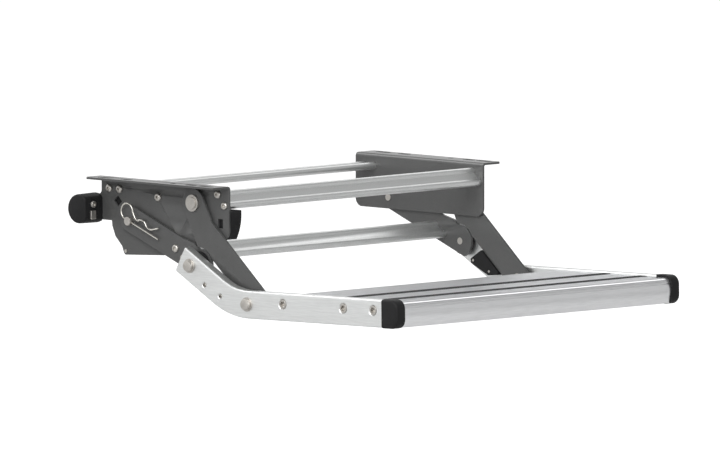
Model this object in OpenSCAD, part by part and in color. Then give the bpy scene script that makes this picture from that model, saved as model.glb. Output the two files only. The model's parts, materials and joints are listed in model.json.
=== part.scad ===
// Electric pull out step for a caravan or camper door.
// Millimetres. X runs along the tread, -Y is the way the step comes out, Z is up.
// The origin is the middle of the two mounting flanges' top faces.
// A side outline is drawn as [forward, up], where forward is -Y.

/* [Mounting frame] */
// Clear width between the two side plates
inner_w = 500; // [400:1:620]
// Length of each side plate, front to back
plate_len = 248; // [240:1:300]
// Height of each side plate
plate_h = 75; // [72:1:84]
// Sheet thickness of the side plates
plate_t = 3; // [2:0.5:4]
// Width of the mounting flange, from the plate's inner face
flange_w = 36; // [34:1:50]
// Outer radius of the flange bend
bend_r = 5; // [4:0.5:7]
// Radius of the plate's lower corners
plate_corner_r = 12; // [4:1:20]
// Radius of the flange's outer corners
flange_corner_r = 5; // [2:1:8]

/* [Mounting holes] */
// Distance of the slots and holes from the plate's inner face
slot_inset = 25; // [22:0.5:28]
// Width of every slot
slot_w = 9; // [6:0.5:10]
// Length of the outer slots
outer_slot_len = 28; // [20:1:34]
// Spacing of the outer slots
outer_slot_pitch = 196; // [180:1:206]
// Middle of the outer slots, forward of the plate's middle
outer_slot_mid = 3.5; // [0:0.5:5]
// Length of the inner slots
inner_slot_len = 22; // [14:1:26]
// Spacing of the inner slots
inner_slot_pitch = 126; // [110:1:134]
// Middle of the inner slots, forward of the plate's middle
inner_slot_mid = 9.5; // [6:0.5:12]
// Diameter of the round locating hole
locating_d = 8.5; // [5:0.5:10]
// Place of the locating hole, forward of the plate's middle
locating_f = 37; // [28:1:44]

/* [Linkage] */
// Arm pivot, forward of the plate's middle
arm_pivot_f = 59.7; // [58:0.1:62]
// Arm pivot, below the flange's top
arm_pivot_drop = 26.6; // [26:0.1:28]
// Link pivot, behind the plate's middle
link_pivot_back = 60.5; // [58:0.1:63]
// Link pivot, below the flange's top
link_pivot_drop = 59.2; // [58:0.1:60]
// Link length, centre to centre
link_len = 144.5; // [142:0.1:147]
// Angle of the link below level, step out
link_angle = 21.4; // [20.5:0.1:22]
// Distance between the link pin and the arm pin along the step
coupler_len = 121; // [119:0.1:123]
// Angle of the line between those pins below level, step out
coupler_angle = 22.7; // [22:0.1:23.5]
// Thickness of the links and arms
arm_t = 4; // [3:0.5:5]
// Half width of the link, and the radius of its upper end
link_r = 20; // [16:0.5:21]
// Radius of the link's lower end
link_end_r = 22.5; // [20:0.5:23]
// Gap between the link's lower end and the arm's recess
nest_gap = 1.5; // [1:0.1:2]

/* [Arm outline] */
// Radius of the arm's upper end
arm_top_r = 20; // [17:0.5:21]
// Radius of the arm's lower end
arm_end_r = 25; // [20:0.5:25]
// Slope of the arm's upper leg below level
upper_leg_angle = 62; // [60:0.5:64]
// Length of the arm's upper leg
upper_leg_len = 70; // [64:0.5:74]
// Slope of the arm's lower leg below level
lower_leg_angle = 41; // [40:0.5:42]
// Length of the arm's lower leg
lower_leg_len = 140; // [130:1:146]
// Width of the arm's lower leg behind its pin
leg_behind = 16; // [13:0.5:17]
// Distance from the arm's lower pin to its trimmed foot
arm_foot = 18; // [14:0.5:19]

/* [Pins] */
// Shank diameter of the pivot pins
pin_d = 12; // [9:0.5:13]
// Diameter of the peened pin ends
tenon_d = 9.5; // [6:0.5:9.5]
// Base diameter of the outer pin heads
head_d = 20; // [16:0.5:22]
// Face diameter of the outer pin heads
head_face_d = 18; // [14:0.5:20]
// Height of the outer pin heads
head_h = 6; // [3:0.5:7]
// Diameter of the arm pivot's head
arm_head_d = 23.5; // [18:0.5:26]
// Raised disc on the arm pivot's head
arm_head_disc_d = 16.5; // [10:0.5:18]
// Outer diameter of the bush in the arm's lower end
bush_d = 17; // [15:0.5:20]
// Outer diameter of the thin washers
washer_d = 30; // [24:1:34]
// Width of the release pin across its two flats
pin_flats = 9.5; // [7:0.5:11]
// How far the release pin stands out past the link
pin_reach = 8; // [7:0.5:9]

/* [Step frame] */
// Width of each side bar
bar_w = 16; // [12:0.5:20]
// Height of each side bar
bar_h = 39; // [36:0.5:42]
// Edge radius of the side bars
bar_edge_r = 3; // [1:0.5:6]
// How far the bar runs past the link pin
bar_tail = 18; // [14:0.5:22]
// Distance from the link pin to the bend's corner
bar_rear_len = 102.2; // [98:0.1:106]
// Slope of the bar's rear part below level
bar_drop = 27.8; // [27:0.1:28.5]
// Slope of the bar's front part above level
bar_rise = 0.85; // [0:0.05:1.5]
// Bend radius of the bar's centre line
bar_bend_r = 80; // [60:1:100]
// Distance from the bend's corner to the bar's front end
bar_front_len = 284; // [280:1:320]
// Diameter of the spacers on the link pins
link_spacer_d = 38; // [30:1:39]
// Diameter of the spacers on the arm pins
arm_spacer_d = 38; // [30:1:39]
// Width of the gap that the spacers fill
spacer_t = 5; // [5:0.5:7]

/* [Tread] */
// Depth of the tread, from the rear screws to the front face
tread_depth = 221.5; // [200:0.5:240]
// Thickness of the tread's plank
tread_t = 24.4; // [21:0.2:28]
// Depth of the front nose, top to bottom
nose_h = 35.4; // [32:0.2:38]
// Front to back size of the nose
nose_w = 24; // [18:0.5:28]
// Radius of the nose's top edge
nose_top_r = 9; // [7:0.5:10]
// Radius of the nose's bottom edge
nose_low_r = 5; // [3:0.5:6]
// Wall of the tread's chambers
tread_wall = 2.8; // [2:0.1:3.5]
// Screw line of the tread, above the bar's centre line
screw_rise = 4.2; // [3:0.1:5]
// Spacing of the ribs on the tread
rib_pitch = 5; // [4:0.5:8]
// Width of a rib
rib_w = 1.6; // [1:0.1:2]
// Height of a rib
rib_h = 0.8; // [0.4:0.1:1]
// Width of the dark anti-slip strips
strip_w = 14; // [10:0.5:18]
// Depth of the groove that holds a strip
strip_t = 1.6; // [1:0.1:2]
// Distance from the rear screws to the first strip
strip_1 = 97.5; // [80:0.5:100]
// Distance from the rear screws to the second strip
strip_2 = 168.5; // [160:0.5:172]
// Distance from the rear screws to the middle screws
screw_2 = 118; // [112:0.5:122]
// Distance from the rear screws to the front screws
screw_3 = 176; // [174:0.5:188]
// Outer radius of a screw port
port_r = 6.5; // [5.5:0.1:7]
// Head diameter of the tread screws
tread_head_d = 16; // [12:0.5:18]
// Shank diameter of the tread screws
tread_screw_d = 8; // [5:0.5:8]
// Length of the end caps
cap_len = 30; // [26:0.5:34]
// Corner radius of the end caps
cap_r = 13; // [6:0.5:16]
// How far the end caps stand proud
cap_proud = 0.7; // [0:0.1:1.5]

/* [Cross bars] */
// Lobe diameter of the cross bars
lobe_d = 10; // [8:0.5:12]
// Spacing of the two lobes
lobe_pitch = 20; // [16:0.5:22]
// Web between the lobes
lobe_web = 4.5; // [3:0.5:8]
// Shank diameter of the cross bar screws
bar_screw_d = 5; // [4:0.5:6]
// Head diameter of the cross bar screws
bar_screw_head_d = 11; // [9:0.5:12]
// Head height of the cross bar screws
bar_screw_head_h = 3; // [2:0.5:3.5]

/* [Drive] */
// Width of the drive housing behind the left plate
housing_w = 19; // [14:1:40]
// Top of the drive housing, below the flange's top
housing_top = 34; // [34:0.5:36]
// Diameter of the motor
motor_d = 42; // [34:1:44]
// Length of the motor outside the plate
motor_len = 35; // [28:1:38]
// Motor axis, behind the plate's middle
motor_back = 136; // [135:0.5:140]
// Motor axis, below the flange's top
motor_drop = 45.5; // [44:0.5:47]
// Wire diameter of the release clip
clip_wire = 2.5; // [1.6:0.1:3]

/* [Clearances] */
// Radial clearance of a pin in its hole
fit = 0.05; // [0.02:0.01:0.08]
// Side clearance between parts that turn on each other
side_gap = 0.2; // [0.1:0.05:0.4]
// Clearance between the arm and the stop that it rests on
stop_gap = 0.5; // [0.3:0.1:1]

/* [Hidden] */
$fn = 64;

// Layers across the width, from the plate's inner face outwards
plate_in = inner_w / 2;
plate_out = plate_in + plate_t;
washer_t = 2;
arm_in = plate_out + washer_t;
arm_out = arm_in + arm_t;
bar_in = arm_out + spacer_t;
bar_out = bar_in + bar_w;

// Pivots as [forward, up]
function heading(angle) = [cos(angle), sin(angle)];
arm_pivot = [arm_pivot_f, -arm_pivot_drop];
link_pivot = [-link_pivot_back, -link_pivot_drop];
link_end = link_pivot + link_len * heading(-link_angle);
arm_end = link_end + coupler_len * heading(-coupler_angle);
motor_axis = [-motor_back, -motor_drop];

// The corner where the side bar bends, and the tread's own place on the bar
bar_corner = link_end + bar_rear_len * heading(-bar_drop);
bar_turn = bar_drop + bar_rise;
bar_tangent = bar_bend_r * tan(bar_turn / 2);
// The bend enters both straight runs by this angle, and is slimmer by this slack
bend_lap = 0.8;
bend_slack = 0.02;
tread_back = 90.5;
tread_front = tread_back + tread_depth;
tread_top = screw_rise + tread_t / 2;
screw_places = [0, screw_2, screw_3];

// Lobes of the three cross bars
front_bar_lobe = [115.4, -27.5];
front_bar_angle = 131.5;
rear_bar_lobe = [-109, -17];
rear_bar_angle = 0;
lower_bar_reach = 92.6;
lower_bar_offset = -1.4;
lower_bar_angle = -39;
lower_bar_lobe = link_pivot + lower_bar_reach * heading(-link_angle)
    + lower_bar_offset * heading(90 - link_angle) + [1, 2.3];

// Small parts of the drive side
housing_screw_at = [-13.8, -23.6];
plate_rivet_at = [-75.8, -102.4];
diamond_at = [-92, -33.8];
diamond_side = 11;
window_at = [107.6, -53];
window_size = [9.5, 13];

// Places children drawn as [forward, up] in the plane at x, growing towards -X
module side_plane(x) {
    translate([x, 0, 0]) rotate([90, 0, -90]) children();
}

// Gives a side outline a thickness between two planes
module slab(x_from, x_to) {
    side_plane(x_to) linear_extrude(x_to - x_from) children();
}

// A round along X
module rod(at, d, x_from, x_to) {
    slab(x_from, x_to) translate(at) circle(d = d);
}

// A round whose diameter changes along X
module taper(at, d_from, d_to, x_from, x_to) {
    translate([x_from, -at[0], at[1]]) rotate([0, 90, 0])
        cylinder(d1 = d_from, d2 = d_to, h = x_to - x_from);
}

// The right side is drawn, and the left is its mirror image
module on_side(side) {
    if (side == "left") mirror([1, 0, 0]) children();
    else children();
}

// A strip that starts at a point and runs along an angle
module strip(at, angle, length, below, above) {
    translate(at) rotate(angle) translate([0, -below]) square([length, below + above]);
}

module slot(length, width) {
    square([length - width, width], center = true);
    for (end = [-1, 1]) translate([end * (length - width) / 2, 0]) circle(d = width);
}

// A rectangle with round corners, from its lowest corner
module round_box(size, r) {
    translate([r, 0]) square([size[0] - 2 * r, size[1]]);
    translate([0, r]) square([size[0], size[1] - 2 * r]);
    for (u = [r, size[0] - r], v = [r, size[1] - r]) translate([u, v]) circle(r = r);
}

// Side plates
module web_outline() {
    translate([-plate_len / 2, -plate_h]) round_box([plate_len, plate_h - bend_r], plate_corner_r);
    translate([-plate_len / 2, -plate_h + plate_corner_r])
        square([plate_len, plate_h - plate_corner_r - bend_r]);
}

// The tab that carries the motor, rounded about the motor's axis
module motor_tab_outline() {
    tab_r = motor_d / 2 - 0.5;
    blend = 6;
    edge = -plate_len / 2;
    translate(motor_axis) circle(r = tab_r);
    translate([-motor_back, -motor_drop - 16])
        square([motor_back + edge + blend, 16 + tab_r - 1]);
    difference() {
        translate([edge - blend, -motor_drop + tab_r - 2]) square([blend + 1, blend + 2]);
        translate([edge - blend, -motor_drop + tab_r - 1 + blend]) circle(r = blend);
    }
}

// The lobe under the left plate that covers the drive
module lobe_outline() {
    polygon([[-118, -52], [-104, -60], [-103, -69], [-97, -83], [-84, -96], [-80, -105.6],
        [-77, -107.8], [-3, -104], [14, -92], [25, -plate_h], [25, -52]]);
}

module flange_outline() {
    reach = flange_w - bend_r;
    translate([plate_in + bend_r, -plate_len / 2]) square([reach - flange_corner_r, plate_len]);
    translate([plate_in + bend_r, -plate_len / 2 + flange_corner_r])
        square([reach, plate_len - 2 * flange_corner_r]);
    for (y = [-1, 1]) translate([plate_in + flange_w - flange_corner_r,
        y * (plate_len / 2 - flange_corner_r)]) circle(r = flange_corner_r);
}

module flange_holes() {
    x = plate_in + slot_inset;
    for (end = [-1, 1]) {
        translate([x, -outer_slot_mid + end * outer_slot_pitch / 2])
            rotate(90) slot(outer_slot_len, slot_w);
        translate([x, -inner_slot_mid + end * inner_slot_pitch / 2])
            rotate(90) slot(inner_slot_len, slot_w);
    }
    translate([x, -locating_f]) circle(d = locating_d);
}

module bend() {
    inner_r = bend_r - plate_t;
    translate([plate_in + bend_r, plate_len / 2, -bend_r]) rotate([90, 0, 0])
        linear_extrude(plate_len) intersection() {
            difference() {
                circle(r = bend_r);
                circle(r = inner_r);
            }
            translate([-bend_r, 0]) square(bend_r);
        }
}

module bar_screw_holes(first, angle) {
    for (along = [0, lobe_pitch]) translate(first + along * heading(angle))
        circle(d = bar_screw_d + 2 * fit);
}

module plate_holes(pin_hole) {
    translate(arm_pivot) circle(d = tenon_d + 2 * fit);
    translate(link_pivot) circle(d = pin_hole + 2 * fit);
    bar_screw_holes(front_bar_lobe, front_bar_angle);
    bar_screw_holes(rear_bar_lobe, rear_bar_angle);
}

module flange() {
    translate([0, 0, -plate_t]) linear_extrude(plate_t) difference() {
        flange_outline();
        flange_holes();
    }
    bend();
}

module side_plate_right() color("dimgray") {
    slab(plate_in, plate_out) difference() {
        web_outline();
        plate_holes(tenon_d);
    }
    flange();
}

module side_plate_left() color("dimgray") on_side("left") {
    slab(plate_in, plate_out) difference() {
        union() {
            web_outline();
            motor_tab_outline();
            lobe_outline();
        }
        plate_holes(pin_d);
        translate(housing_screw_at) circle(d = bar_screw_d + 2 * fit);
        translate(plate_rivet_at) circle(d = 3 + 2 * fit);
        translate(diamond_at) rotate(45) square(diamond_side, center = true);
        translate(window_at) square(window_size, center = true);
    }
    flange();
}

// Cross bars: two lobes with a screw port each, joined by a web
module lobed_outline(angle) {
    difference() {
        union() {
            rotate(angle) translate([0, -lobe_web / 2]) square([lobe_pitch, lobe_web]);
            for (along = [0, lobe_pitch]) translate(along * heading(angle)) circle(d = lobe_d);
        }
        for (along = [0, lobe_pitch]) translate(along * heading(angle))
            circle(d = bar_screw_d + 2 * fit);
    }
}

module cross_bar(first, angle, half) color("dimgray")
    slab(-half, half) translate(first) lobed_outline(angle);

// A button head screw that enters from outside, seated on the plane x
module button_screw(at, d, head, head_height, x, depth) {
    rod(at, d, x - depth, x);
    taper(at, head, head * 0.8, x, x + head_height);
}

module bar_screws(first, angle, x) {
    for (side = ["left", "right"], along = [0, lobe_pitch]) on_side(side)
        button_screw(first + along * heading(angle), bar_screw_d, bar_screw_head_d,
            bar_screw_head_h, x, 22);
}

module cross_bar_screws() color("silver") {
    bar_screws(front_bar_lobe, front_bar_angle, plate_out);
    bar_screws(rear_bar_lobe, rear_bar_angle, plate_out);
}

// Drive housing behind the left plate
module housing_outline() {
    front_r = 70;
    difference() {
        union() {
            intersection() {
                translate([-112, -plate_h]) square([260, plate_h - housing_top]);
                union() {
                    translate([57, -40]) circle(r = front_r, $fn = 128);
                    translate([-112 + 14, -plate_h]) square([112 + 40, plate_h - housing_top]);
                    translate([-112, -plate_h + 14]) square([112 + 40, plate_h]);
                    translate([-112 + 14, -plate_h + 14]) circle(r = 14);
                }
            }
            translate(housing_screw_at) circle(r = 10);
            translate(housing_screw_at + [-10, -14]) square([20, 14]);
        }
        translate(link_pivot) circle(d = pin_d + 2 * fit);
        translate(housing_screw_at) circle(d = bar_screw_d + 2 * fit);
    }
}

module drive_housing() color("black") on_side("left")
    slab(plate_in - housing_w, plate_in) housing_outline();

module housing_screw() color("silver") on_side("left")
    button_screw(housing_screw_at, bar_screw_d, bar_screw_head_d + 0.6, bar_screw_head_h, plate_out, 15);

module plate_rivet() color("silver") on_side("left") {
    rod(plate_rivet_at, 3, plate_in - 0.5, plate_out);
    rod(plate_rivet_at, 5, plate_out, plate_out + 1.5);
    rod(plate_rivet_at, 5, plate_in - 1.5, plate_in - 0.5);
}

// Motor outside the tab, with its end edge rounded
module drive_motor() color("black") on_side("left")
    translate([plate_out, motor_back, -motor_drop]) rotate([0, 90, 0]) rotate_extrude() {
        edge = 2.5;
        square([motor_d / 2, motor_len - edge]);
        square([motor_d / 2 - edge, motor_len]);
        translate([motor_d / 2 - edge, motor_len - edge]) circle(r = edge);
    }

// The bright tab and screw on the front of the motor
motor_skin = motor_back - motor_d / 2;
module beside_motor() difference() {
    children();
    rod(motor_axis, motor_d + 2 * side_gap, plate_out - 1, plate_out + motor_len + 1);
}

module motor_tab() color("lightgray") on_side("left") beside_motor()
    translate([plate_out + 19.5, motor_skin - 2, -motor_drop - 13.8]) cube([9, 6.5, 12.5]);

module motor_screw() color("silver") on_side("left") beside_motor()
    translate([plate_out + 24, motor_skin - 2.2, -motor_drop + 6.5]) rotate([-90, 0, 0])
        cylinder(d = 7.5, h = 5);

// Fixed pins: the arm pivots and the right link pivot
module arm_pivot_pin(side) color("gray") on_side(side) {
    rod(arm_pivot, tenon_d, plate_in - 0.8, plate_out);
    rod(arm_pivot, pin_d, plate_out, arm_out + side_gap);
    rod(arm_pivot, arm_head_d, arm_out + side_gap, arm_out + side_gap + 2.5);
    rod(arm_pivot, arm_head_disc_d, arm_out + side_gap + 2.5, bar_in - 0.5);
}

module washer(side, at) color("lightgray") on_side(side)
    slab(plate_out, arm_in - side_gap) translate(at) difference() {
        circle(d = washer_d);
        circle(d = pin_d + 2 * fit);
    }

module link_pivot_pin() color("gray") {
    rod(link_pivot, tenon_d, plate_in - 0.8, plate_out);
    rod(link_pivot, pin_d, plate_out, arm_out + side_gap);
    taper(link_pivot, head_d, head_face_d, arm_out + side_gap, bar_in - 0.5);
}

// Links: a strap with a round end at each pivot
module link_outline() {
    translate(link_pivot) rotate(-link_angle) {
        circle(r = link_r);
        translate([0, -link_r]) square([link_len, 2 * link_r]);
        translate([link_len, 0]) circle(r = link_end_r);
    }
}

module flatted_round(d, across) {
    intersection() {
        circle(d = d);
        square([2 * d, across], center = true);
    }
}

module link(side) color("dimgray") on_side(side) slab(arm_in, arm_out) difference() {
    link_outline();
    if (side == "left")
        translate(link_pivot) rotate(-link_angle) flatted_round(pin_d + 2 * fit, pin_flats + 2 * fit);
    else
        translate(link_pivot) circle(d = pin_d + 2 * fit);
    translate(link_end) circle(d = tenon_d + 2 * fit);
    bar_screw_holes(lower_bar_lobe, lower_bar_angle);
}

module lower_bar_screws() color("silver") bar_screws(lower_bar_lobe, lower_bar_angle, arm_out);

// The release pin turns with the left link, and a wire clip holds it
clip_x = arm_out + pin_reach / 2;
module release_pin() color("gray") on_side("left") difference() {
    rod(link_pivot, pin_d, plate_in - housing_w + 4, arm_out + pin_reach);
    slab(arm_in, arm_out) translate(link_pivot) rotate(-link_angle) for (side = [-1, 1])
        translate([0, side * (pin_flats + pin_d) / 2]) square([2 * pin_d, pin_d], center = true);
    side_plane(clip_x) translate(link_pivot) rotate(-link_angle) rotate([0, 90, 0])
        cylinder(d = clip_wire + 0.3, h = 3 * pin_d, center = true);
}

// Spring clip: a straight leg, a round eye and a wavy leg, as [along, across] the link
eye_r = 11;
eye_at = [-9, eye_r];
wave = [[8.5, 9], [14, 7.2], [19.5, 10.6], [27, 11.4], [34, 7], [41, 6], [48, 9.6], [55.5, 14.7]];
clip_path = concat(
    [for (u = [61, 40, 20, 5]) [u, 0]],
    [for (a = [270:-22.5:22.5]) eye_at + eye_r * heading(a)],
    [for (i = [0:len(wave) - 2], k = [0:3]) curve_point(wave, i, k / 4)],
    [wave[len(wave) - 1]]);

// A point on the smooth curve through a list, t of the way from point i to the next
function curve_point(p, i, t) = let (
    a = p[max(i - 1, 0)], b = p[i], c = p[i + 1], d = p[min(i + 2, len(p) - 1)])
    0.5 * (2 * b + (c - a) * t + (2 * a - 5 * b + 4 * c - d) * t * t
        + (3 * b - a - 3 * c + d) * t * t * t);

function unit(v) = v / norm(v);
function path_heading(p, i) = unit(p[min(i + 1, len(p) - 1)] - p[max(i - 1, 0)]);

// A round wire along a flat path
module wire(path, d) {
    sides = 10;
    last = len(path) - 1;
    rings = [for (i = [0:last]) let (t = path_heading(path, i), n = [-t[1], t[0]])
        for (k = [0:sides - 1]) let (a = 360 * k / sides)
            [path[i][0] + n[0] * cos(a) * d / 2, path[i][1] + n[1] * cos(a) * d / 2,
            sin(a) * d / 2]];
    polyhedron(rings, concat(
        [for (i = [0:last - 1], k = [0:sides - 1]) let (m = (k + 1) % sides)
            [i * sides + k, i * sides + m, (i + 1) * sides + m, (i + 1) * sides + k]],
        [[for (k = [sides - 1:-1:0]) k], [for (k = [0:sides - 1]) last * sides + k]]));
}

module release_clip() color("silver") on_side("left")
    side_plane(clip_x) translate(link_pivot) rotate(-link_angle) wire(clip_path, clip_wire);

// Link end pins: peened in the link, running in the spacer and the side bar
module link_end_pin(side) color("gray") on_side(side) {
    rod(link_end, tenon_d, arm_in, arm_out);
    rod(link_end, pin_d, arm_out, bar_out + side_gap);
    taper(link_end, head_d, head_face_d, bar_out + side_gap, bar_out + side_gap + head_h);
}

// Arms: a dog-leg strap, recessed round the link's lower end
module arm_strips(grow) {
    translate(arm_pivot) rotate(-upper_leg_angle) {
        circle(r = arm_top_r + grow);
        translate([0, -arm_top_r - grow]) square([upper_leg_len, 2 * (arm_top_r + grow)]);
    }
    translate(arm_end) rotate(180 - lower_leg_angle) {
        circle(r = arm_end_r + grow);
        translate([0, -arm_end_r - grow])
            square([lower_leg_len, arm_end_r + leg_behind + 2 * grow]);
    }
}

module arm_outline() {
    difference() {
        arm_strips(0);
        translate(link_end) circle(r = link_end_r + nest_gap);
        translate(arm_end) rotate(bar_rise) translate([-100, -100 - arm_foot]) square([200, 100]);
        arm_corner_cut();
    }
}

// Trims the lower leg's square end, which would stand out behind the arm pivot
module arm_corner_cut() {
    translate(arm_pivot) rotate(-upper_leg_angle) {
        translate([0, -arm_top_r - 60]) square([upper_leg_len, 60]);
        translate([0, arm_top_r]) square([12, 60]);
    }
}

module arm(side) color("dimgray") on_side(side) slab(arm_in, arm_out) difference() {
    arm_outline();
    translate(arm_pivot) circle(d = pin_d + 2 * fit);
    translate(arm_end) circle(d = bush_d + 2 * fit);
}

module arm_bush(side) color("gray") on_side(side)
    slab(arm_in, arm_out) translate(arm_end) difference() {
        circle(d = bush_d);
        circle(d = pin_d + 2 * fit);
    }

// Side bars: a straight rear part, a bend and a straight front part
module bar_section(slack = 0) {
    size = [bar_h - 2 * slack, bar_w - 2 * slack];
    translate(-size / 2) round_box(size, bar_edge_r);
}

module bar_run(at, angle, length) {
    translate(at) rotate(angle) rotate([90, 0, 90]) linear_extrude(length) bar_section();
}

module side_bar(side) color("lightgray") on_side(side) difference() {
    rear_run = bar_tail + bar_rear_len - bar_tangent;
    rear_end = link_end - bar_tail * heading(-bar_drop);
    bend_start = bar_corner - bar_tangent * heading(-bar_drop);
    bend_mid = bend_start + bar_bend_r * heading(90 - bar_drop);
    bend_end = bar_corner + bar_tangent * heading(bar_rise);
    side_plane((bar_in + bar_out) / 2) {
        bar_run(rear_end, -bar_drop, rear_run);
        translate(bend_mid) rotate(-90 - bar_drop - bend_lap)
            rotate_extrude(angle = bar_turn + 2 * bend_lap)
                translate([bar_bend_r, 0]) bar_section(bend_slack);
        bar_run(bend_end, bar_rise, bar_front_len - bar_tangent);
    }
    rod(link_end, pin_d + 2 * fit, bar_in - 1, bar_out + 1);
    rod(arm_end, pin_d + 2 * fit, bar_in - 1, bar_out + 1);
    for (at = stop_screw_places) {
        rod(at, stop_screw_d + 2 * fit, bar_in - 1, bar_out + 1);
        countersink(at, stop_screw_d, stop_head_d);
    }
    on_tread_line() for (s = screw_places) {
        at = [tread_back + s, screw_rise];
        rod(at, tread_screw_d + 2 * fit, bar_in - 1, bar_out + 1);
        countersink(at, tread_screw_d, tread_head_d);
    }
}

// The cone that a flat head screw sits in, and the head itself when grow is 0
module countersink(at, shank, head, grow = fit) {
    depth = (head - shank) / 2;
    taper(at, shank + 2 * grow, head + 2 * grow, bar_out - depth, bar_out);
    if (grow > 0) rod(at, head + 2 * grow, bar_out - 0.01, bar_out + 1);
}

// Places children on the bar's front centre line, with its corner as the zero
module on_tread_line() {
    translate([0, -bar_corner[0], bar_corner[1]]) rotate([-bar_rise, 0, 0]) children();
}

module flat_screw(at, shank, head, depth) {
    rod(at, shank, bar_out - depth, bar_out - (head - shank) / 2);
    countersink(at, shank, head, 0);
}

// Tread: one extruded plank with chambers, screw ports, ribs and a deeper nose
module tread_skin() {
    low = tread_top - tread_t;
    floor_t = tread_top - rib_h;
    corner = 3;
    back = tread_back - port_r;
    translate([back + corner, low]) square([tread_front - nose_w - back, floor_t - low]);
    translate([back, low + corner]) square([20, floor_t - low - 2 * corner]);
    for (v = [low + corner, floor_t - corner]) translate([back + corner, v]) circle(r = corner);
    nose_skin();
}

module nose_skin() {
    back = tread_front - nose_w;
    low = tread_top - nose_h;
    top = tread_top - rib_h;
    translate([back, low + nose_low_r])
        square([nose_w, nose_h - rib_h - nose_low_r - nose_top_r]);
    translate([back + nose_low_r, low]) square([nose_w - 2 * nose_low_r, nose_low_r]);
    translate([back, low + nose_low_r]) square([nose_w - nose_top_r, nose_h - rib_h - nose_low_r]);
    for (u = [back + nose_low_r, tread_front - nose_low_r])
        translate([u, low + nose_low_r]) circle(r = nose_low_r);
    translate([tread_front - nose_top_r, top - nose_top_r]) circle(r = nose_top_r);
}

// Chambers between the walls at the screw ports and one wall halfway
module tread_chambers() {
    low = tread_top - tread_t + tread_wall;
    high = tread_top - strip_t - tread_wall;
    walls = [tread_back, tread_back + screw_2 / 3, tread_back + screw_2 * 2 / 3,
        tread_back + screw_2, tread_back + screw_3, tread_front - nose_w + tread_wall / 2];
    for (i = [0:len(walls) - 2]) {
        from = walls[i] + tread_wall / 2;
        to = walls[i + 1] - tread_wall / 2;
        if (to - from > 4) difference() {
            translate([from, low]) round_box([to - from, high - low], 1.5);
            for (s = screw_places) translate([tread_back + s, screw_rise]) circle(r = port_r);
        }
    }
    nose_low = tread_top - nose_h + tread_wall;
    translate([tread_front - nose_w + 2 * tread_wall, nose_low])
        round_box([nose_w - 3 * tread_wall, tread_top - nose_top_r - nose_low], 2);
}

module tread_ribs() {
    first = tread_back + 2;
    count = floor((tread_front - nose_top_r - first) / rib_pitch);
    for (i = [0:count]) translate([first + i * rib_pitch, tread_top - rib_h - 0.4])
        square([rib_w, rib_h + 0.4]);
}

// Two fine grooves that run along the rounded top of the nose
module nose_grooves() {
    for (a = [28, 4]) translate([tread_front - nose_top_r, tread_top - rib_h - nose_top_r]
        + nose_top_r * heading(a)) circle(d = 1.6);
}

module strip_grooves() {
    for (s = [strip_1, strip_2]) translate([tread_back + s - strip_w / 2, tread_top - strip_t])
        square([strip_w, strip_t + 1]);
}

module tread() color("silver") on_tread_line() slab(-bar_in, bar_in) difference() {
    union() {
        tread_skin();
        tread_ribs();
    }
    tread_chambers();
    strip_grooves();
    nose_grooves();
    for (s = screw_places) translate([tread_back + s, screw_rise])
        circle(d = tread_screw_d + 2 * fit);
}

// Anti-slip strips: a ribbed rubber band in each groove
module tread_strips() color("black") on_tread_line() slab(-bar_in, bar_in)
    for (s = [strip_1, strip_2]) translate([tread_back + s, tread_top - strip_t]) {
        ridges = 5;
        step = strip_w / ridges;
        translate([-strip_w / 2, 0]) square([strip_w, strip_t - 0.6]);
        for (i = [0:ridges - 1]) translate([-strip_w / 2 + (i + 0.25) * step, 0])
            square([step / 2, strip_t]);
    }

module tread_screws() color("silver") for (side = ["left", "right"], s = screw_places)
    on_side(side) on_tread_line() flat_screw([tread_back + s, screw_rise], tread_screw_d,
        tread_head_d, 40);

// End caps close the front of the side bars and cover the tread's ends
module end_cap(side) color("black") on_side(side) on_tread_line()
    slab(bar_in, bar_out + cap_proud) {
        half = bar_h / 2 + cap_proud;
        translate([bar_front_len, -half]) square([cap_len - cap_r, 2 * half]);
        translate([bar_front_len, -half + cap_r]) square([cap_len, 2 * (half - cap_r)]);
        for (v = [-1, 1]) translate([bar_front_len + cap_len - cap_r, v * (half - cap_r)])
            circle(r = cap_r);
    }

// Stop blocks: the arm's rear edge lies on them when the step is out
stop_screw_d = 4.5;
stop_head_d = 8.5;
stop_reach = 12;
stop_screw_places = [link_end + [28.4, -25], link_end + [59.2, -38.7]];
module stop_outline() {
    difference() {
        translate(link_end) polygon([[31, -18], [24, -23], [25, -29], [58, -44.2], [77, -42.4],
            [77, -20], [51, -6]]);
        arm_strips(stop_gap);
    }
}

module arm_stop(side) color("black") on_side(side) slab(bar_in - stop_reach, bar_in)
    difference() {
        stop_outline();
        for (at = stop_screw_places) translate(at) circle(d = stop_screw_d + 2 * fit);
    }

module stop_screws() color("silver") for (side = ["left", "right"], at = stop_screw_places)
    on_side(side) flat_screw(at, stop_screw_d, stop_head_d, bar_w + stop_reach);

// Spacers that fill the gap between the links or arms and the side bars
module spacers(at, d) color("black") for (side = ["left", "right"]) on_side(side)
    slab(arm_out + side_gap, bar_in) translate(at) difference() {
        circle(d = d);
        circle(d = pin_d + 2 * fit);
    }

module arm_end_pins() color("gray") for (side = ["left", "right"]) on_side(side) {
    rod(arm_end, pin_d, arm_out + side_gap, bar_out);
    taper(arm_end, head_d, head_face_d, bar_out, bar_out + head_h);
}

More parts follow.
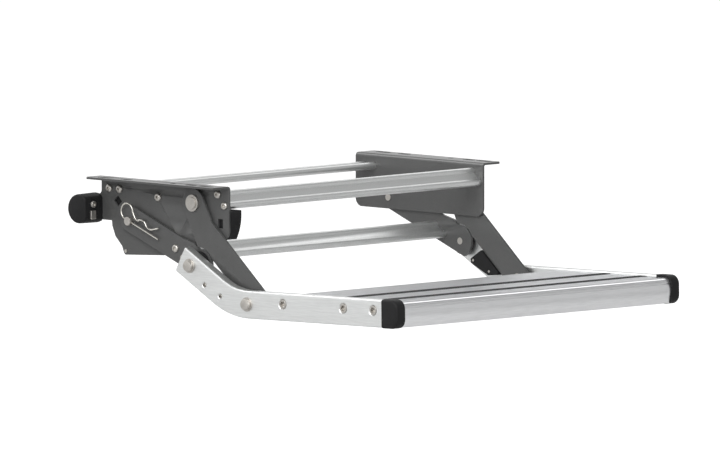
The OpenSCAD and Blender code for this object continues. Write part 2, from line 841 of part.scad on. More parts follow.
side_plate_left();
side_plate_right();
cross_bar(front_bar_lobe, front_bar_angle, plate_in);  // front_cross_bar
cross_bar(rear_bar_lobe, rear_bar_angle, plate_in);  // rear_cross_bar
cross_bar_screws();
drive_housing();
housing_screw();
plate_rivet();
drive_motor();
motor_tab();
motor_screw();
arm_pivot_pin("left");  // arm_pivot_pin_left
arm_pivot_pin("right");  // arm_pivot_pin_right
washer("left", arm_pivot);  // arm_washer_left
washer("right", arm_pivot);  // arm_washer_right
washer("left", link_pivot);  // link_washer_left
washer("right", link_pivot);  // link_washer_right
link_pivot_pin();
link("left");  // link_left
link("right");  // link_right
cross_bar(lower_bar_lobe, lower_bar_angle, arm_in);  // lower_cross_bar
lower_bar_screws();
release_pin();
release_clip();
link_end_pin("left");  // link_end_pin_left
link_end_pin("right");  // link_end_pin_right
arm("left");  // arm_left
arm("right");  // arm_right
arm_bush("left");  // arm_bush_left
arm_bush("right");  // arm_bush_right
side_bar("left");  // side_bar_left
side_bar("right");  // side_bar_right
tread();
tread_strips();
tread_screws();
end_cap("left");  // end_cap_left
end_cap("right");  // end_cap_right
arm_stop("left");  // arm_stop_left
arm_stop("right");  // arm_stop_right
stop_screws();
spacers(link_end, link_spacer_d);  // link_spacers
spacers(arm_end, arm_spacer_d);  // arm_spacers
arm_end_pins();
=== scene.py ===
import json
import math

import bmesh
import bpy
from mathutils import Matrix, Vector


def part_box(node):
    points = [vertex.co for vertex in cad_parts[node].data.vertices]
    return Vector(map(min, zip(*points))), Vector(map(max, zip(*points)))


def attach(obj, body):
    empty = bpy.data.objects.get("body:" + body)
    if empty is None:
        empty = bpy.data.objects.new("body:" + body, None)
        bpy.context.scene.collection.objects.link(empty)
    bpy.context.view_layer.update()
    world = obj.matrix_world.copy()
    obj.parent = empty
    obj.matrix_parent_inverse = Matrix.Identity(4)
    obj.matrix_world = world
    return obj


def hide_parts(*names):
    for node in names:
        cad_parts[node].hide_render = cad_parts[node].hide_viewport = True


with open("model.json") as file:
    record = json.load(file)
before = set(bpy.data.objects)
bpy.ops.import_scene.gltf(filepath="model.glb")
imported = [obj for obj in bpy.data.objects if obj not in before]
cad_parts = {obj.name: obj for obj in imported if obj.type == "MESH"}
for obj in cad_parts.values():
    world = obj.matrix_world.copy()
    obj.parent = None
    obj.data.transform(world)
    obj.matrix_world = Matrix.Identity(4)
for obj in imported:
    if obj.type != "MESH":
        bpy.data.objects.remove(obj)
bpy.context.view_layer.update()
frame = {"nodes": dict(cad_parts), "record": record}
nodes = frame["nodes"]
record = frame["record"]
body_of_node = {
    n: body for body, members in record["behaviour"]["bodies"].items() for n in members}
slot_of_node = {s["node"]: s["material_slot"] for s in record["subparts"]}

# Camera: the photo is nearly parallel, so the lens is parallel too
FRAME_PX = (720, 450)
PX_PER_METRE = 720.0
VIEW_DIRECTION = Vector((0.7098, 0.6985, -0.0906)).normalized()
AIM = Vector((0.1327, 0.0, -0.0865))
CAMERA_BACK = 4.0

# Floor, a little below the lowest point that the step swings through. Its glow by kind of
# ray brings the grey up to white where the camera sees it.
FLOOR_Z = -0.36
FLOOR_SIZE = 60.0
FLOOR_GREY = 0.52
FLOOR_GLOW = {"Is Camera Ray": 0.74, "Is Glossy Ray": 0.10, "Is Transmission Ray": 0.10}

# World levels by height and by depth of the direction, each from -1 to 1
WORLD_BY_HEIGHT = [(-1.0, 1.0), (0.3, 1.0), (0.56, 0.42), (0.75, 0.42), (1.0, 0.8)]
WORLD_BY_DEPTH = [(-1.0, 0.6), (-0.6, 0.6), (-0.2, 0.9), (0.1, 1.0)]

# Soft lamps as (name, place, size, power), all aimed at the step
LAMP_TARGET = (0, -0.1, -0.1)
LAMPS = [
    ("key", (-2.2, -0.9, 1.6), 2.0, 52),
    ("fill", (-1.1, -2.4, 0.9), 2.0, 24),
    ("rim", (-0.6, 2.4, 2.3), 2.2, 46),
    ("far", (2.6, 1.1, 2.2), 1.4, 8),
]

# Colours as seen, each a linear grey or near grey
COAT = (0.066, 0.0665, 0.066)
BAR_METAL = (0.75, 0.76, 0.755)
TREAD_METAL = (0.84, 0.845, 0.855)
BLACK = (0.0115, 0.0115, 0.012)
RUBBER = (0.045, 0.045, 0.046)
ZINC = (0.50, 0.48, 0.45)
BRIGHT = (0.62, 0.60, 0.56)


def setup_camera():
    data = bpy.data.cameras.new("camera")
    data.type = "ORTHO"
    data.ortho_scale = FRAME_PX[0] / PX_PER_METRE
    data.clip_end = 100.0
    camera = bpy.data.objects.new("camera", data)
    bpy.context.scene.collection.objects.link(camera)
    camera.location = AIM - VIEW_DIRECTION * CAMERA_BACK
    camera.rotation_euler = VIEW_DIRECTION.to_track_quat("-Z", "Y").to_euler()
    bpy.context.scene.camera = camera


# Materials. A grain's stretch is low along the axes that it is drawn out on, and its depth
# and the edge radius are in metres.
EVEN = (1, 1, 1)
METAL_GRAIN = 0.00001
SHADE_FROM, SHADE_TO = 0.35, 0.65


def new_material(name):
    mat = bpy.data.materials.new(name)
    mat.use_nodes = True
    tree = mat.node_tree
    return mat, tree, tree.nodes["Principled BSDF"]


def add(tree, kind, **sockets):
    node = tree.nodes.new(kind)
    for key, value in sockets.items():
        node.inputs[key.replace("_", " ")].default_value = value
    return node


def noise(tree, stretch, scale, detail=3.0):
    coords = tree.nodes.new("ShaderNodeTexCoord")
    mapping = tree.nodes.new("ShaderNodeMapping")
    mapping.inputs["Scale"].default_value = stretch
    tree.links.new(coords.outputs["Object"], mapping.inputs["Vector"])
    node = add(tree, "ShaderNodeTexNoise", Scale=scale, Detail=detail, Roughness=0.6)
    tree.links.new(mapping.outputs["Vector"], node.inputs["Vector"])
    return node


def shade_by(tree, shader, colour, source, amount):
    """Varies the colour a little by a noise."""
    ramp = tree.nodes.new("ShaderNodeValToRGB")
    low, high = ramp.color_ramp.elements
    for element, place, level in (
            (low, SHADE_FROM, 1 - amount), (high, SHADE_TO, 1 + amount)):
        element.position = place
        element.color = tuple(c * level for c in colour) + (1.0,)
    tree.links.new(source.outputs["Fac"], ramp.inputs["Fac"])
    tree.links.new(ramp.outputs["Color"], shader.inputs["Base Color"])


def rough_by(tree, shader, rough, source):
    """Varies the roughness between two values by a noise."""
    span = tree.nodes.new("ShaderNodeMapRange")
    span.inputs["To Min"].default_value, span.inputs["To Max"].default_value = rough
    tree.links.new(source.outputs["Fac"], span.inputs["Value"])
    tree.links.new(span.outputs["Result"], shader.inputs["Roughness"])


def bump_by(tree, shader, source, depth, edge):
    """Fine relief, with edges rounded by the edge radius."""
    bevel = tree.nodes.new("ShaderNodeBevel")
    bevel.samples = 4
    bevel.inputs["Radius"].default_value = edge
    bump = add(tree, "ShaderNodeBump", Strength=1.0, Distance=depth)
    tree.links.new(source.outputs["Fac"], bump.inputs["Height"])
    tree.links.new(bevel.outputs["Normal"], bump.inputs["Normal"])
    tree.links.new(bump.outputs["Normal"], shader.inputs["Normal"])


def coated_material(name, colour, specular, rough, scale, mottle, amount, depth, edge):
    """A coat or plastic with a fine grain and a faint mottle of its own scale."""
    mat, tree, shader = new_material(name)
    shader.inputs["Specular IOR Level"].default_value = specular
    grain = noise(tree, EVEN, scale, detail=2)
    shade_by(tree, shader, colour, noise(tree, EVEN, mottle), amount)
    rough_by(tree, shader, rough, grain)
    bump_by(tree, shader, grain, depth, edge)
    return mat


def metal_material(name, colour, stretch, scale, rough, edge):
    mat, tree, shader = new_material(name)
    shader.inputs["Metallic"].default_value = 1.0
    grain = noise(tree, stretch, scale)
    shade_by(tree, shader, colour, grain, amount=0.05)
    rough_by(tree, shader, rough, grain)
    bump_by(tree, shader, grain, METAL_GRAIN, edge)
    return mat


materials = {
    "plate_coat": coated_material(
        "powder_coat", COAT, specular=0.5, rough=(0.24, 0.34), scale=1400,
        mottle=30, amount=0.05, depth=0.00003, edge=0.0006),
    "bar_alloy": metal_material(
        "side_bar_alloy", BAR_METAL, (60, 3, 60), scale=12, rough=(0.38, 0.48), edge=0.0008),
    "tread_alloy": metal_material(
        "tread_alloy", TREAD_METAL, (2, 60, 60), scale=20, rough=(0.27, 0.34), edge=0.0003),
    "black_plastic": coated_material(
        "black_plastic", BLACK, specular=0.16, rough=(0.45, 0.6), scale=900,
        mottle=60, amount=0.08, depth=0.00008, edge=0.0005),
    "strip_rubber": coated_material(
        "strip_rubber", RUBBER, specular=0.16, rough=(0.6, 0.75), scale=1200,
        mottle=60, amount=0.08, depth=0.00006, edge=0.0005),
    "pin_steel": metal_material(
        "pin_steel", ZINC, EVEN, scale=220, rough=(0.35, 0.5), edge=0.0004),
    "screw_steel": metal_material(
        "screw_steel", ZINC, EVEN, scale=260, rough=(0.32, 0.45), edge=0.0002),
    "wire_steel": metal_material(
        "wire_steel", BRIGHT, EVEN, scale=300, rough=(0.2, 0.3), edge=0.0001),
}

SMOOTH_ANGLE = math.radians(32)
for name, obj in nodes.items():
    obj.data.materials.clear()
    obj.data.materials.append(materials[slot_of_node[name]])


# Pieces that stand for a CAD node. Sizes are in millimetres, as in the source, and a side
# point is (forward, up), where forward is -Y.
MM = 0.001
SEGMENTS = 48
SIDES = ((-1, "left"), (1, "right"))
# How far a cutting tool runs past the surface that it cuts
PAST = 1.0
# Distance within which corners are one, in metres
WELD = 1e-6
LINK_PIVOT = (-60.5, -59.2)
LINK_ANGLE = -21.4
LINK_END = (74.038, -111.925)
ARM_END = (185.66, -158.62)
# Direction of an arm's lower leg, from its end pin
LOWER_LEG_ANGLE = 139
BAR_CORNER = (164.44, -159.59)
BAR_HEIGHT = 39.0
CAP_BACK = 284.0
BAR_RISE = 0.85
TREAD_BACK = 90.5
TREAD_TOP = 16.4
PLATE_IN = 250.0
PLATE_OUT = 253.0
HOUSING_IN = 231.0
ARM_IN = 255.0
ARM_OUT = 259.0
BAR_IN = 264.0
BAR_OUT = 280.0
# Radii of the screws' and pins' shanks, and of the holes round them
BUTTON_SHANK = 2.5
TREAD_SHANK, TREAD_HOLE = 4.0, 4.05
STOP_SHANK, STOP_HOLE = 2.25, 2.3
PIN_SHANK, PIN_HOLE, PIN_TENON = 6.0, 6.05, 4.75


def turned(point, origin, angle):
    c, s = math.cos(math.radians(angle)), math.sin(math.radians(angle))
    return origin[0] + point[0] * c - point[1] * s, origin[1] + point[0] * s + point[1] * c


def on_tread(point):
    return turned(point, BAR_CORNER, BAR_RISE)


def on_link(outline):
    return [turned(p, LINK_PIVOT, LINK_ANGLE) for p in outline]


def around(centre, radius, degrees):
    a = math.radians(degrees)
    return centre[0] + radius * math.cos(a), centre[1] + radius * math.sin(a)


def placed(point, x):
    return Vector((x, -point[0], point[1])) * MM


def loft(mesh, rings):
    """Joins rings of equal length with quads and closes both ends."""
    rows = [[mesh.verts.new(v) for v in ring] for ring in rings]
    for low, high in zip(rows, rows[1:]):
        for i in range(len(low)):
            k = (i + 1) % len(low)
            mesh.faces.new((low[i], low[k], high[k], high[i]))
    mesh.faces.new(rows[0][::-1])
    mesh.faces.new(rows[-1])


def temporary(name, mesh):
    """An object for the booleans, which is removed after them."""
    data = bpy.data.meshes.new(name)
    mesh.to_mesh(data)
    mesh.free()
    obj = bpy.data.objects.new(name, data)
    bpy.context.scene.collection.objects.link(obj)
    return obj


def finish_piece(name, mesh, slot, node):
    """Turns a built mesh into the piece that stands for the node."""
    bmesh.ops.recalc_face_normals(mesh, faces=mesh.faces)
    data = bpy.data.meshes.new(name)
    mesh.to_mesh(data)
    mesh.free()
    dress(name, data, slot, node)


def dress(name, data, slot, node):
    data.materials.clear()
    data.materials.append(materials[slot])
    for face in data.polygons:
        face.use_smooth = True
        face.material_index = 0
    data.set_sharp_from_angle(angle=SMOOTH_ANGLE)
    piece = bpy.data.objects.new(name, data)
    bpy.context.scene.collection.objects.link(piece)
    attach(piece, body_of_node[node])
    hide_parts(node)


def circle(radius):
    return lambda angle: radius


def hexagon(flat):
    """Radius of a hexagon with the given distance from its middle to a flat."""
    sector = math.pi / 3
    return lambda angle: flat / math.cos((angle % sector) - sector / 2)


def star(radius):
    """Radius of a six-pointed star socket."""
    wave = 0.13
    return lambda angle: radius * (1 + wave * math.cos(6 * angle))


def ring(centre, x, radius):
    """Points about the X direction, at a radius that may change with the angle."""
    if not callable(radius):
        radius = circle(radius)
    points = []
    for i in range(SEGMENTS):
        a = 2 * math.pi * i / SEGMENTS
        r = radius(a)
        points.append(placed((centre[0] + r * math.cos(a), centre[1] + r * math.sin(a)), x))
    return points


def islands(node):
    """A node's separate solids, as (middle, inner x, outer x, radius) in mm."""
    data = nodes[node].data
    key = [tuple(round(c, 6) for c in v.co) for v in data.vertices]
    parent = {k: k for k in key}

    def root(k):
        while parent[k] != k:
            parent[k] = parent[parent[k]]
            k = parent[k]
        return k

    for face in data.polygons:
        first = root(key[face.vertices[0]])
        for v in face.vertices[1:]:
            parent[root(key[v])] = first
    groups = {}
    for k in parent:
        groups.setdefault(root(k), []).append(k)
    found = []
    for points in groups.values():
        low = [min(p[i] for p in points) / MM for i in range(3)]
        high = [max(p[i] for p in points) / MM for i in range(3)]
        middle = (-(low[1] + high[1]) / 2, (low[2] + high[2]) / 2)
        ends = sorted((low[0], high[0]), key=abs)
        found.append((middle, ends[0], ends[1], (high[2] - low[2]) / 2))
    return sorted(found)


def shank_tip(middle, inner, side, shank):
    """The screw's tapered inner end."""
    end_share, taper = 0.7, 1.0
    return [ring(middle, inner, shank * end_share), ring(middle, inner + side * taper, shank)]


def socket(middle, top, side, outline, depth):
    return [ring(middle, top, outline), ring(middle, top - side * depth, outline)]


def button_screws(name, node):
    """Heads with a rim, a dome and a hexagon socket. Shares are of the head's radius."""
    head_h, rim_h = 3.0, 0.6
    dome, steps = 65, 5
    crown_share, top_share, socket_share, socket_depth = 0.42, 0.5, 0.34, 2.0
    mesh = bmesh.new()
    for middle, inner, outer, head in islands(node):
        side = math.copysign(1, outer)
        seat = outer - side * head_h
        rings = shank_tip(middle, inner, side, BUTTON_SHANK)
        rings += [ring(middle, seat, BUTTON_SHANK), ring(middle, seat, head),
            ring(middle, seat + side * rim_h, head)]
        for k in range(1, steps + 1):
            a = math.radians(dome * k / steps)
            rise = rim_h + (head_h - rim_h) * math.sin(a) / math.sin(math.radians(dome))
            radius = head * (crown_share + (1 - crown_share) * math.cos(a))
            rings.append(ring(middle, seat + side * rise, radius))
        rings.append(ring(middle, outer, head * top_share))
        rings += socket(middle, outer, side, hexagon(head * socket_share), socket_depth)
        loft(mesh, rings)
    finish_piece(name, mesh, "screw_steel", node)


def flat_screws(name, node, shank):
    """Countersunk heads, flush with the bar, with a star socket and a gap all round."""
    gap, chamfer, socket_share = 1.5, 0.2, 0.5
    deepest, depth_share = 4.0, 0.7
    mesh = bmesh.new()
    for middle, inner, outer, head in islands(node):
        side = math.copysign(1, outer)
        cone = head - shank
        rings = shank_tip(middle, inner, side, shank)
        for depth, radius in ((cone, shank), (gap, head - gap), (chamfer, head - gap),
                (0, head - gap - chamfer)):
            rings.append(ring(middle, outer - side * depth, radius))
        rings += socket(middle, outer, side, star(head * socket_share),
            min(deepest, head * depth_share))
        loft(mesh, rings)
    finish_piece(name, mesh, "screw_steel", node)


def headed_pins(name, node, tenon_at=None):
    """Pins with a base ring and a tapered face above it."""
    head_h, base_h, bevel = 6.0, 1.6, 0.3
    # From the base ring up, as (depth below the top, inset from the ring's edge)
    face = ((head_h - base_h, 2.0), (0.9, 2.3), (0.3, 2.6), (0, 3.1))
    mesh = bmesh.new()
    for middle, inner, outer, head in islands(node):
        side = math.copysign(1, outer)
        seat = outer - side * head_h
        if tenon_at:
            shoulder = side * tenon_at
            profile = [(inner, PIN_TENON), (shoulder, PIN_TENON), (shoulder, PIN_SHANK)]
        else:
            profile = [(inner, PIN_SHANK)]
        profile += [(seat, PIN_SHANK), (seat, head - bevel), (seat + side * bevel, head),
            (seat + side * (base_h - bevel), head), (seat + side * base_h, head - bevel)]
        profile += [(outer - side * depth, head - inset) for depth, inset in face]
        loft(mesh, [ring(middle, x, r) for x, r in profile])
    finish_piece(name, mesh, "pin_steel", node)


def tool_from(rings):
    mesh = bmesh.new()
    loft(mesh, rings)
    bmesh.ops.recalc_face_normals(mesh, faces=mesh.faces)
    return temporary("tool", mesh)


def prism(outline, x_from, x_to):
    return [[placed(p, x) for p in outline] for x in (x_from, x_to)]


def node_mesh(node):
    """A copy of the node's mesh, with the corners that its faces share joined."""
    mesh = bmesh.new()
    mesh.from_mesh(nodes[node].data)
    bmesh.ops.remove_doubles(mesh, verts=mesh.verts, dist=WELD)
    return mesh


def reshaped(name, node, slot, cuts=(), adds=(), start=None):
    """A node's solid, or a closed mesh in its place, with solids cut from or added to it."""
    work = temporary("work", start or node_mesh(node))
    tools = []
    for kind, group in (("DIFFERENCE", cuts), ("UNION", adds)):
        for rings in group:
            tools.append(tool_from(rings))
            change = work.modifiers.new(kind, "BOOLEAN")
            change.operation = kind
            change.solver = "EXACT"
            change.object = tools[-1]
    graph = bpy.context.evaluated_depsgraph_get()
    data = bpy.data.meshes.new_from_object(work.evaluated_get(graph))
    data.name = name
    for old in [work] + tools:
        bpy.data.objects.remove(old)
    dress(name, data, slot, node)


def box_outline(f_from, f_to, low, high):
    return [(f_from, low), (f_to, low), (f_to, high), (f_from, high)]


def make_plate_and_housing():
    """The left plate's rear edge follows the drive's lobe, and a skirt runs on ahead of it."""
    rear_corner = [(-126, -61.5), (-126, -76), (-100.4, -76), (-100.4, -75.1), (-103, -69),
        (-103.9, -61.5)]
    skirt = [(24, -74), (25, -76), (36, -84.5), (66, -88), (76, -75), (76, -74)]
    past = 2 * PAST
    reshaped("left_plate", "side_plate_left", "plate_coat",
        cuts=[prism(rear_corner, -PLATE_IN + past, -PLATE_OUT - past)],
        adds=[prism(skirt, -PLATE_IN, -PLATE_OUT)])
    beyond_the_end = box_outline(-120, -100, -80, -20)
    cover = box_outline(-100, -82, -36, -24.5)
    reshaped("housing", "drive_housing", "black_plastic",
        cuts=[prism(beyond_the_end, -HOUSING_IN + past, -PLATE_IN - past)],
        adds=[prism(cover, -HOUSING_IN, -PLATE_IN)])


def make_cross_bars():
    """The cross bars keep their solids, in the natural alloy that the photo shows."""
    for node in ("front_cross_bar", "rear_cross_bar", "lower_cross_bar"):
        reshaped(node.replace("cross_bar", "bar_profile"), node, "bar_alloy")


def make_links_and_arms():
    """The links' straight lower edge and low shoulder, and the arms' slimmer lower leg."""
    below = on_link(box_outline(-26, 180, -30, -16.5))
    shoulder = on_link([(102, 2), (132, 2), (132, 20), (122, 22.9), (102, 20)])
    slim = [turned(p, ARM_END, LOWER_LEG_ANGLE) for p in (
        (-40, -21.5), (-40, -30), (160, -30), (146.6, -25), (137.5, -21.5))]
    for side, name in SIDES:
        near, far = side * ARM_IN, side * ARM_OUT
        through = (near - side * PAST, far + side * PAST)
        reshaped("strap_" + name, "link_" + name, "plate_coat",
            cuts=[prism(below, *through)], adds=[prism(shoulder, near, far)])
        reshaped("dog_leg_" + name, "arm_" + name, "plate_coat",
            cuts=[prism(slim, *through)])


def bar_path():
    """Places and angles along the side bar's centre line, from the rear end to the front."""
    drop, radius, rear_len, corner = 29.1, 120.0, 114.5, (155.6, -159.73)
    turn = drop + BAR_RISE
    tangent = radius * math.tan(math.radians(turn / 2))
    rows = [(turned((-rear_len, 0), corner, -drop), -drop)]
    middle = turned((-tangent, radius), corner, -drop)
    steps = 16
    for i in range(steps + 1):
        angle = -drop + turn * i / steps
        rows.append((turned((0, -radius), middle, angle), angle))
    rows.append((on_tread((CAP_BACK, 0)), BAR_RISE))
    return rows


def bar_section():
    """Across the bar, as (up, outwards), a box with round edges."""
    high, wide, r, steps = BAR_HEIGHT / 2, (BAR_OUT - BAR_IN) / 2, 3.0, 6
    points = []
    for k, (up, out) in enumerate(((1, 1), (1, -1), (-1, -1), (-1, 1))):
        for i in range(steps + 1):
            a = math.pi / 2 * (k + i / steps - 1)
            points.append((up * (high - r) + r * math.cos(a),
                out * (wide - r) - r * math.sin(a)))
    return points


def make_bars():
    """The side bars along their own path, with the pins' holes and the screws' seats."""
    middle_x = (BAR_IN + BAR_OUT) / 2
    past_in, past_out = BAR_IN - PAST, BAR_OUT + PAST
    for side, name in SIDES:
        mesh = bmesh.new()
        loft(mesh, [[placed(turned((0, up), at, angle), side * (middle_x + out))
            for up, out in bar_section()] for at, angle in bar_path()])
        bmesh.ops.recalc_face_normals(mesh, faces=mesh.faces)
        cuts = [[ring(pin, side * x, PIN_HOLE) for x in (past_in, past_out)]
            for pin in (LINK_END, ARM_END)]
        for node, hole in (("tread_screws", TREAD_HOLE), ("stop_screws", STOP_HOLE)):
            for at, _, outer, head in islands(node):
                if outer * side > 0:
                    cone = head - hole
                    cuts.append([ring(at, side * x, r) for x, r in (
                        (past_in, hole), (BAR_OUT - cone, hole), (BAR_OUT, head),
                        (past_out, head))])
        reshaped("bar_" + name, "side_bar_" + name, "bar_alloy", cuts=cuts, start=mesh)


def make_tread():
    """The nose's front is a shallow curve, with two fine grooves above its middle."""
    front, radius, middle = 312.0, 36.0, -2.0
    half_arc, steps, ahead = 44, 32, 4
    groove_angles, groove_r, groove_sides = (17.0, 23.5), 0.8, 12
    centre = (front - radius, middle)
    curve = [around(centre, radius, -half_arc + 2 * half_arc * i / steps)
        for i in range(steps + 1)]
    outlines = [curve + [(front + ahead, curve[-1][1]), (front + ahead, curve[0][1])]]
    for degrees in groove_angles:
        at = around(centre, radius, degrees)
        outlines.append(
            [around(at, groove_r, 360 * k / groove_sides) for k in range(groove_sides)])
    reshaped("tread_plank", "tread", "tread_alloy", cuts=[
        prism([on_tread(p) for p in outline], -BAR_IN - PAST, BAR_IN + PAST)
        for outline in outlines])


def make_motor():
    """A drum with a flat front and a rounded end."""
    axis, r, flat, length = (-136.0, -45.5), 21.0, 14.0, 35.0
    # Along the drum, as (from its outer end, scale)
    profile = ((length, 1.0), (3.0, 0.975), (1.5, 0.96), (0.5, 0.92), (0, 0.86))
    least = 0.01

    def section(scale):
        """The drum's radius, or the way to the flat where that is shorter."""
        return lambda a: min(r * scale, flat * scale / max(math.cos(a), least))

    mesh = bmesh.new()
    loft(mesh, [ring(axis, -PLATE_OUT - (length - x), section(k)) for x, k in profile])
    finish_piece("motor", mesh, "black_plastic", "drive_motor")
    make_motor_fittings(axis[0] + flat, axis[1])


def make_motor_fittings(face, axis_z):
    """The bright tab and the screw, on the motor's flat front."""
    # Out from the plate and up from the drum's axis
    tab_near, tab_far, tab_low, tab_high = 14.4, 24.4, -14.3, -2.3
    bolt_out, bolt_up = 18.8, 6.3
    # Out from the flat, as (lift, inset) and (lift, radius)
    tab_layers = ((-0.8, 0), (1.5, 0), (2.0, 0.5))
    head, in_hex = circle(4.75), hexagon(2.0)
    bolt_layers = ((-0.8, head), (1.6, head), (2.2, circle(4.4)), (2.5, circle(3.7)),
        (2.5, in_hex), (1.0, in_hex))

    near, far = PLATE_OUT + tab_near, PLATE_OUT + tab_far
    low, high = axis_z + tab_low, axis_z + tab_high
    mesh = bmesh.new()
    rings = []
    for lift, inset in tab_layers:
        corners = ((near + inset, low + inset), (far - inset, low + inset),
            (far - inset, high - inset), (near + inset, high - inset))
        rings.append([placed((face + lift, z), -x) for x, z in corners])
    loft(mesh, rings)
    finish_piece("motor_connector", mesh, "pin_steel", "motor_tab")

    centre_x, centre_z = -PLATE_OUT - bolt_out, axis_z + bolt_up
    mesh = bmesh.new()
    rings = []
    for lift, radius in bolt_layers:
        rings.append([])
        for i in range(SEGMENTS):
            a = 2 * math.pi * i / SEGMENTS
            x, z = centre_x + radius(a) * math.cos(a), centre_z + radius(a) * math.sin(a)
            rings[-1].append(placed((face + lift, z), x))
    loft(mesh, rings)
    finish_piece("motor_bolt", mesh, "screw_steel", "motor_screw")


def smooth_curve(points, steps):
    """Points along a Catmull-Rom curve through the given ones."""
    curve = []
    last = len(points) - 1
    for i in range(last):
        a, b = points[max(i - 1, 0)], points[i]
        c, d = points[i + 1], points[min(i + 2, last)]
        for t in (k / steps for k in range(steps)):
            curve.append(tuple(0.5 * (2 * b[j] + (c[j] - a[j]) * t
                + (2 * a[j] - 5 * b[j] + 4 * c[j] - d[j]) * t * t
                + (3 * b[j] - a[j] - 3 * c[j] + d[j]) * t ** 3) for j in (0, 1)))
    curve.append(points[-1])
    return curve


def make_clip():
    """The spring clip as a smooth round wire: a straight leg, the eye and a wavy leg."""
    wire_r, wire_sides, eye_r = 1.25, 16, 11.0
    leg_from, leg_to, leg_pitch = 61, 2, 4
    eye, eye_from, eye_turn, eye_steps = (-9.0, eye_r), 270, 247.5, 44
    wave = [(8.5, 9), (14, 7.2), (19.5, 10.6), (27, 11.4), (34, 7), (41, 6), (48, 9.6),
        (55.5, 14.7)]
    path = [(u, 0.0) for u in range(leg_from, leg_to, -leg_pitch)]
    path += [around(eye, eye_r, eye_from - eye_turn * i / eye_steps)
        for i in range(eye_steps + 1)]
    path += smooth_curve(wave, steps=8)
    low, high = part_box("release_clip")
    x = (low[0] + high[0]) / 2 / MM
    points = [placed(p, x) for p in on_link(path)]
    rings = []
    across = Vector((1, 0, 0))
    for i, point in enumerate(points):
        along = (points[min(i + 1, len(points) - 1)] - points[max(i - 1, 0)]).normalized()
        side = along.cross(across)
        rings.append([point + (across * math.cos(a) + side * math.sin(a)) * wire_r * MM
            for a in (2 * math.pi * k / wire_sides for k in range(wire_sides))])
    mesh = bmesh.new()
    loft(mesh, rings)
    finish_piece("clip_wire", mesh, "wire_steel", "release_clip")


def make_strips():
    """Two rubber bands with round ridges, a little proud of the tread."""
    middles = (97.5, 168.5)
    width, deep, proud, valley = 14.0, 1.6, 1.0, 0.1
    ridges, per_ridge, fullness = 5, 12, 0.6
    mesh = bmesh.new()
    for middle in middles:
        left = TREAD_BACK + middle - width / 2
        outline = [(left, TREAD_TOP - deep), (left + width, TREAD_TOP - deep)]
        for i in range(ridges * per_ridge, -1, -1):
            lift = 0.5 - 0.5 * math.cos(2 * math.pi * i / per_ridge)
            outline.append((left + width * i / (ridges * per_ridge),
                TREAD_TOP - valley + (proud + valley) * lift ** fullness))
        loft(mesh, [[placed(on_tread(p), x) for p in outline] for x in (-BAR_IN, BAR_IN)])
    finish_piece("grip_strips", mesh, "strip_rubber", "tread_strips")


def cap_outline(inset):
    """The cap from the side, drawn in by the inset all round but at its back."""
    front, half, corner, steps = 314.0, 20.2, 13.0, 10
    r = corner - inset
    points = [(CAP_BACK, half - inset), (CAP_BACK, inset - half)]
    for sign in (-1, 1):
        for i in range(steps + 1):
            a = math.pi / 2 * i / steps
            across, up = (math.sin(a), math.cos(a)) if sign < 0 else (math.cos(a), math.sin(a))
            points.append((front - corner + r * across, sign * (half - corner + r * up)))
    return points


def make_caps():
    """End caps with rounded outer edges."""
    edge, edge_steps, outer = 3.5, 6, BAR_OUT + 0.7
    layers = [(BAR_IN, 0.0), (outer - edge, 0.0)]
    for k in range(1, edge_steps + 1):
        a = math.radians(90 * k / edge_steps)
        layers.append((outer - edge + edge * math.sin(a), edge * (1 - math.cos(a))))
    for side, name in SIDES:
        mesh = bmesh.new()
        loft(mesh, [[placed(on_tread(p), side * x) for p in cap_outline(inset)]
            for x, inset in layers])
        finish_piece("cap_" + name, mesh, "black_plastic", "end_cap_" + name)


def make_screws_and_pins():
    button_screws("bar_bolts", "cross_bar_screws")
    button_screws("housing_bolt", "housing_screw")
    button_screws("lower_bar_bolts", "lower_bar_screws")
    flat_screws("tread_bolts", "tread_screws", TREAD_SHANK)
    flat_screws("stop_bolts", "stop_screws", STOP_SHANK)
    headed_pins("arm_pins", "arm_end_pins")
    for _, name in SIDES:
        headed_pins("link_pin_" + name, "link_end_pin_" + name, tenon_at=ARM_OUT)


make_plate_and_housing()
make_cross_bars()
make_links_and_arms()
make_bars()
make_tread()
make_motor()
make_clip()
make_strips()
make_caps()
make_screws_and_pins()


def maths(tree, operation, first, second):
    """A Math node on an output and a second output or a number."""
    node = tree.nodes.new("ShaderNodeMath")
    node.operation = operation
    tree.links.new(first, node.inputs[0])
    if isinstance(second, float):
        node.inputs[1].default_value = second
    else:
        tree.links.new(second, node.inputs[1])
    return node.outputs["Value"]


def setup_floor():
    """A pale floor that is white to the camera and keeps the step's shadow."""
    mesh = bpy.data.meshes.new("floor")
    half = FLOOR_SIZE / 2
    corners = ((-half, -half), (half, -half), (half, half), (-half, half))
    mesh.from_pydata([(x, y, FLOOR_Z) for x, y in corners], [], [(0, 1, 2, 3)])
    floor = bpy.data.objects.new("floor", mesh)
    bpy.context.scene.collection.objects.link(floor)
    mat, tree, shader = new_material("floor")
    shader.inputs["Base Color"].default_value = (FLOOR_GREY, FLOOR_GREY, FLOOR_GREY, 1)
    shader.inputs["Roughness"].default_value = 0.9
    shader.inputs["Specular IOR Level"].default_value = 0.1
    shader.inputs["Emission Color"].default_value = (1, 1, 1, 1)
    path = tree.nodes.new("ShaderNodeLightPath")
    total = None
    for kind, level in FLOOR_GLOW.items():
        part = maths(tree, "MULTIPLY", path.outputs[kind], level)
        total = maths(tree, "ADD", total, part) if total else part
    tree.links.new(total, shader.inputs["Emission Strength"])
    mesh.materials.append(mat)


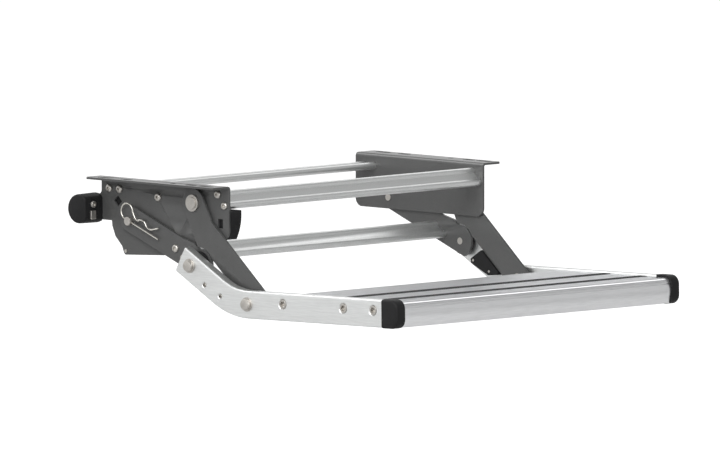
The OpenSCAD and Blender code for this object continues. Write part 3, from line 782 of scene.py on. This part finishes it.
def level_along(tree, direction, stops):
    """The world's level by one part of the direction, from -1 to 1."""
    span = tree.nodes.new("ShaderNodeMapRange")
    span.inputs["From Min"].default_value = -1.0
    ramp = tree.nodes.new("ShaderNodeValToRGB")
    ramp.color_ramp.interpolation = "EASE"
    tree.links.new(direction, span.inputs["Value"])
    tree.links.new(span.outputs["Result"], ramp.inputs["Fac"])
    elements = ramp.color_ramp.elements
    while len(elements) < len(stops):
        elements.new(0.5)
    for element, (place, level) in zip(elements, stops):
        element.position = (place + 1) / 2
        element.color = (level, level, level, 1)
    return ramp.outputs["Color"]


def setup_world():
    """White at the horizon, dimmer above it and ahead of the step, and white to the camera."""
    world = bpy.data.worlds.new("studio")
    bpy.context.scene.world = world
    world.use_nodes = True
    tree = world.node_tree
    tree.nodes.clear()
    out = tree.nodes.new("ShaderNodeOutputWorld")
    coords = tree.nodes.new("ShaderNodeTexCoord")
    split = tree.nodes.new("ShaderNodeSeparateXYZ")
    tree.links.new(coords.outputs["Generated"], split.inputs["Vector"])
    both = maths(tree, "MULTIPLY", level_along(tree, split.outputs["Z"], WORLD_BY_HEIGHT),
        level_along(tree, split.outputs["Y"], WORLD_BY_DEPTH))
    lit = tree.nodes.new("ShaderNodeBackground")
    tree.links.new(both, lit.inputs["Color"])
    plain = tree.nodes.new("ShaderNodeBackground")
    plain.inputs["Color"].default_value = (1, 1, 1, 1)
    path = tree.nodes.new("ShaderNodeLightPath")
    mix = tree.nodes.new("ShaderNodeMixShader")
    tree.links.new(path.outputs["Is Camera Ray"], mix.inputs["Fac"])
    tree.links.new(lit.outputs["Background"], mix.inputs[1])
    tree.links.new(plain.outputs["Background"], mix.inputs[2])
    tree.links.new(mix.outputs["Shader"], out.inputs["Surface"])


def area_light(name, place, size, power):
    data = bpy.data.lights.new(name, "AREA")
    data.shape = "DISK"
    data.size = size
    data.energy = power
    light = bpy.data.objects.new(name, data)
    bpy.context.scene.collection.objects.link(light)
    light.location = place
    aim = Vector(LAMP_TARGET) - Vector(place)
    light.rotation_euler = aim.to_track_quat("-Z", "Y").to_euler()


bpy.context.scene.view_settings.view_transform = "Standard"
setup_camera()
setup_world()
setup_floor()
for lamp in LAMPS:
    area_light(*lamp)
